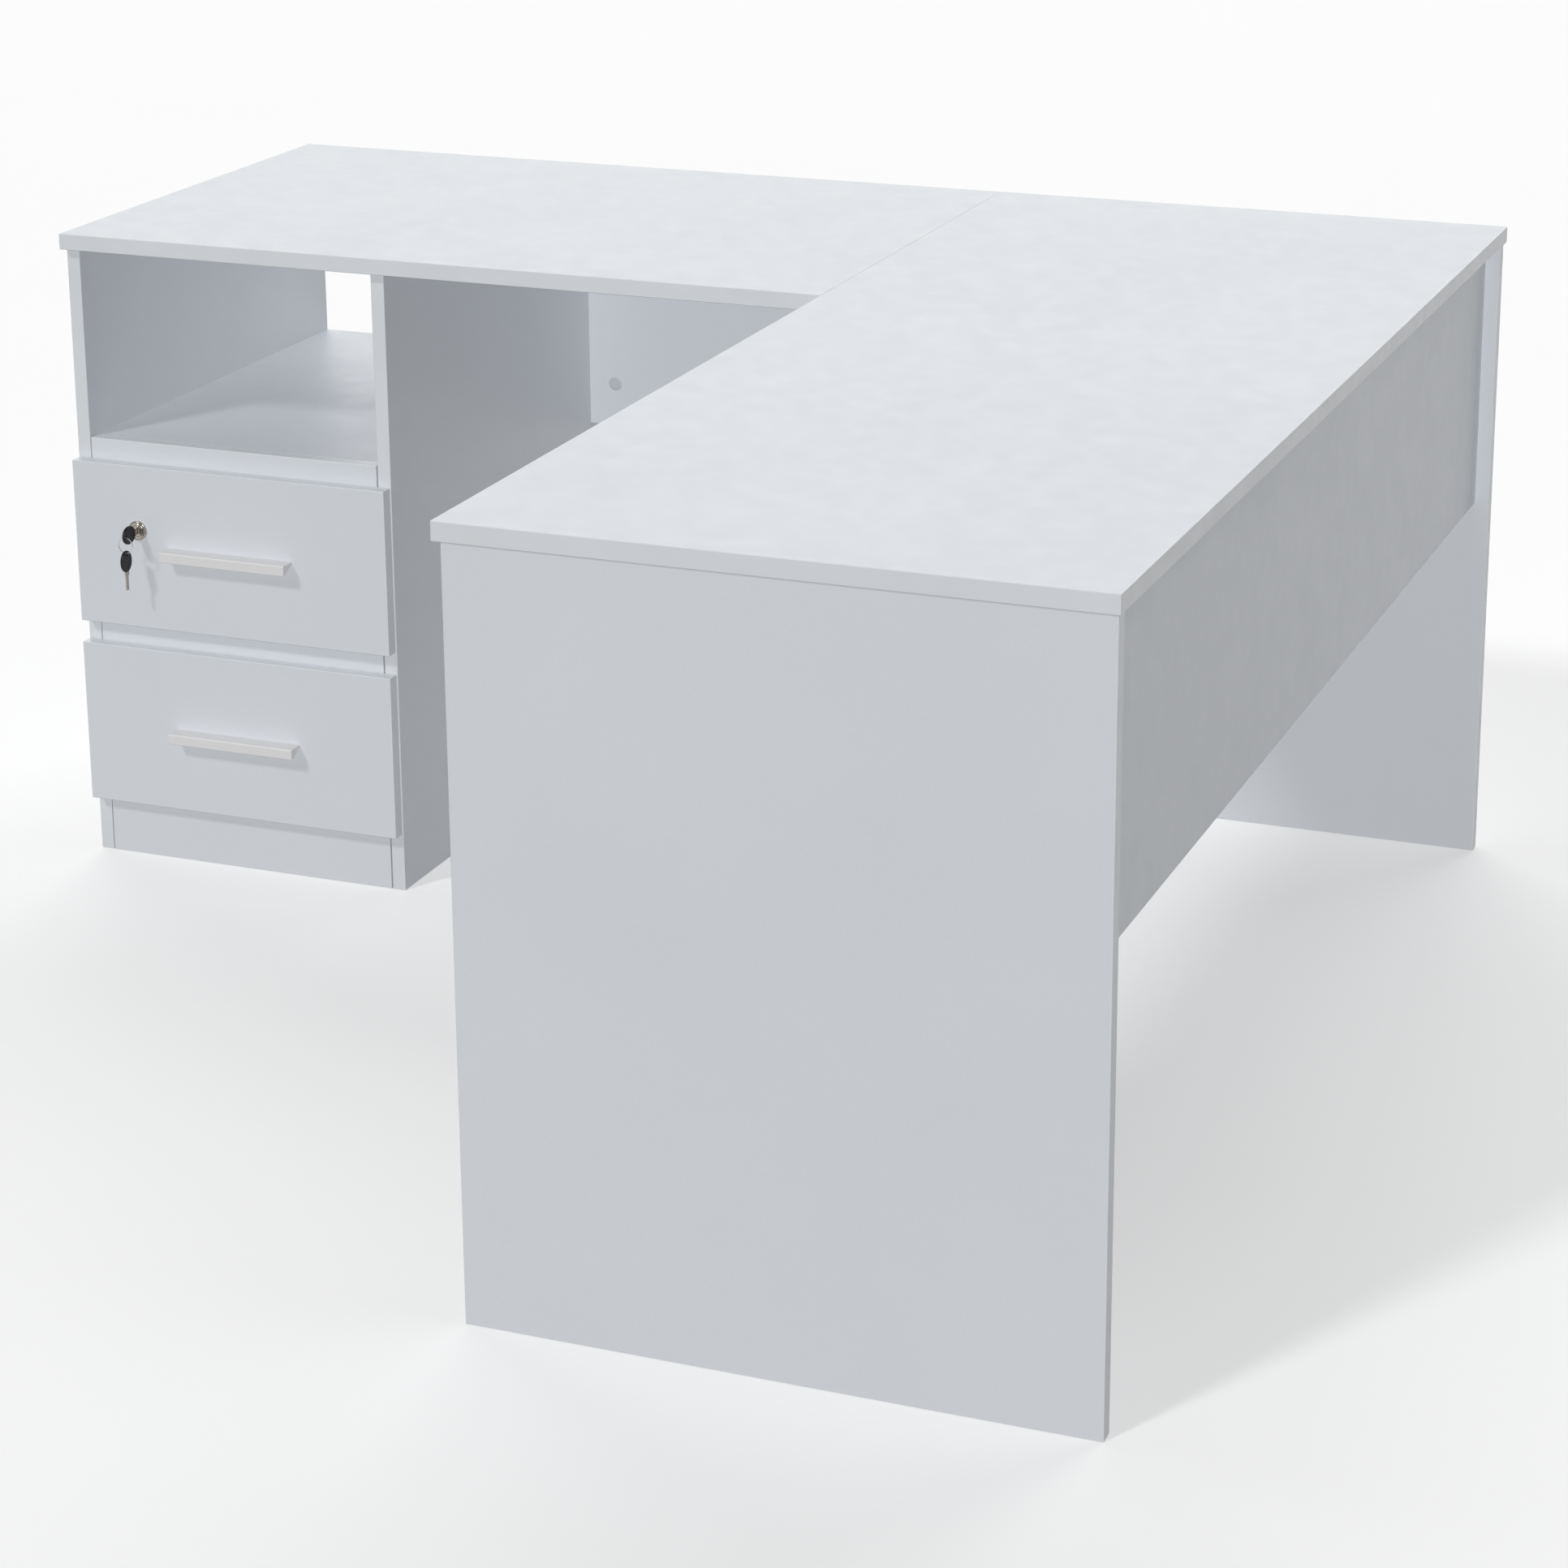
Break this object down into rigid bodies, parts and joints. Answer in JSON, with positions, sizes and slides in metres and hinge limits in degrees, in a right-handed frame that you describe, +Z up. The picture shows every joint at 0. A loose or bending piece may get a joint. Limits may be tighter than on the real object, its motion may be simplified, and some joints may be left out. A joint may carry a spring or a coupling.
{
  "type": "corner desk",
  "caption": "L-shaped panel-leg desk: a main worktop with modesty panel and a return worktop on a pedestal with an open shelf above lockable drawers.",
  "frame": {"origin": "middle of the footprint's bounding box, on the floor", "axes": "+X to the right of a person facing the drawer fronts, +Y away from them, +Z up"},
  "size_m": [1.52, 1.5, 0.74],
  "materials": {
    "melamine_board": "pale grey melamine faced chipboard, fine satin texture",
    "edge_band": "pale grey edge banding, satin",
    "thin_board": "white coated thin fibreboard",
    "zinc_steel": "zinc plated steel",
    "dowel_wood": "beech, unfinished",
    "cap_plastic": "grey plastic, satin",
    "handle_plastic": "off-white plastic, semi gloss",
    "nickel": "nickel plated, slightly worn",
    "key_plastic": "black plastic, fine texture"
  },
  "bodies": {
    "desk": {"main_top": "melamine_board", "main_top_edging": "edge_band", "return_top": "melamine_board", "return_top_edging": "edge_band", "near_end_panel": "melamine_board", "far_end_panel": "melamine_board", "main_modesty_panel": "melamine_board", "return_modesty_panel": "melamine_board", "panel_edging": "edge_band", "pedestal_left_side": "melamine_board", "pedestal_right_side": "melamine_board", "pedestal_shelf": "melamine_board", "pedestal_bottom": "melamine_board", "pedestal_back": "thin_board", "pedestal_upper_rail": "melamine_board", "pedestal_middle_rail": "melamine_board", "pedestal_plinth": "melamine_board", "pedestal_edging": "edge_band", "cam_locks": "zinc_steel", "cam_bolts": "zinc_steel", "cam_cover_caps": "cap_plastic", "wood_dowels": "dowel_wood", "joining_plates": "zinc_steel", "joining_plate_screws": "zinc_steel", "lap_screws": "zinc_steel", "slide_cabinet_members": "zinc_steel", "slide_cabinet_screws": "zinc_steel"},
    "upper_drawer": {"upper_slide_drawer_members": "zinc_steel", "upper_slide_drawer_screws": "zinc_steel", "upper_drawer_front": "melamine_board", "upper_front_edging": "edge_band", "upper_drawer_sides": "melamine_board", "upper_drawer_inner_front": "melamine_board", "upper_drawer_back": "melamine_board", "upper_drawer_bottom": "thin_board", "upper_drawer_handle": "handle_plastic", "upper_handle_screws": "zinc_steel", "upper_drawer_screws": "zinc_steel", "lock_housing": "nickel", "lock_nut": "zinc_steel"},
    "lower_drawer": {"lower_slide_drawer_members": "zinc_steel", "lower_slide_drawer_screws": "zinc_steel", "lower_drawer_front": "melamine_board", "lower_front_edging": "edge_band", "lower_drawer_sides": "melamine_board", "lower_drawer_inner_front": "melamine_board", "lower_drawer_back": "melamine_board", "lower_drawer_bottom": "thin_board", "lower_drawer_handle": "handle_plastic", "lower_handle_screws": "zinc_steel", "lower_drawer_screws": "zinc_steel"},
    "upper_runners": {"upper_slide_middle_members": "zinc_steel"},
    "lower_runners": {"lower_slide_middle_members": "zinc_steel"},
    "lock_cylinder": {"lock_plug": "nickel", "lock_cam": "zinc_steel"},
    "key": {"key_blade": "nickel", "key_head": "key_plastic"},
    "ring": {"key_ring": "zinc_steel"},
    "spare_key": {"spare_key_blade": "nickel", "spare_key_head": "key_plastic"}
  },
  "joints": [
    {"name": "upper_drawer_slide", "type": "slide", "parent": "desk", "child": "upper_drawer", "axis": [0, -1, 0], "range_m": [0, 0.42]},
    {"name": "lower_drawer_slide", "type": "slide", "parent": "desk", "child": "lower_drawer", "axis": [0, -1, 0], "range_m": [0, 0.42]},
    {"name": "upper_runner_slide", "type": "slide", "parent": "desk", "child": "upper_runners", "axis": [0, -1, 0], "range_m": [0, 0.21]},
    {"name": "lower_runner_slide", "type": "slide", "parent": "desk", "child": "lower_runners", "axis": [0, -1, 0], "range_m": [0, 0.21]},
    {"name": "lock_turn", "type": "hinge", "parent": "upper_drawer", "child": "lock_cylinder", "pos_m": [-0.675, 0.155, 0.402], "axis": [0, -1, 0], "range_deg": [0, 90]},
    {"name": "key_pull", "type": "slide", "parent": "lock_cylinder", "child": "key", "axis": [0, -1, 0], "range_m": [0, 0.014]},
    {"name": "ring_swing", "type": "hinge", "parent": "key", "child": "ring", "pos_m": [-0.675, 0.1257, 0.402], "axis": [1, 0, 0], "range_deg": [-80, 10]},
    {"name": "spare_key_swing", "type": "hinge", "parent": "ring", "child": "spare_key", "pos_m": [-0.675, 0.1257, 0.3822], "axis": [1, 0, 0], "range_deg": [-80, 15]}
  ],
  "couplings": [
    {"joint": "upper_runner_slide", "follows": "upper_drawer_slide", "ratio": 0.5},
    {"joint": "lower_runner_slide", "follows": "lower_drawer_slide", "ratio": 0.5}
  ]
}
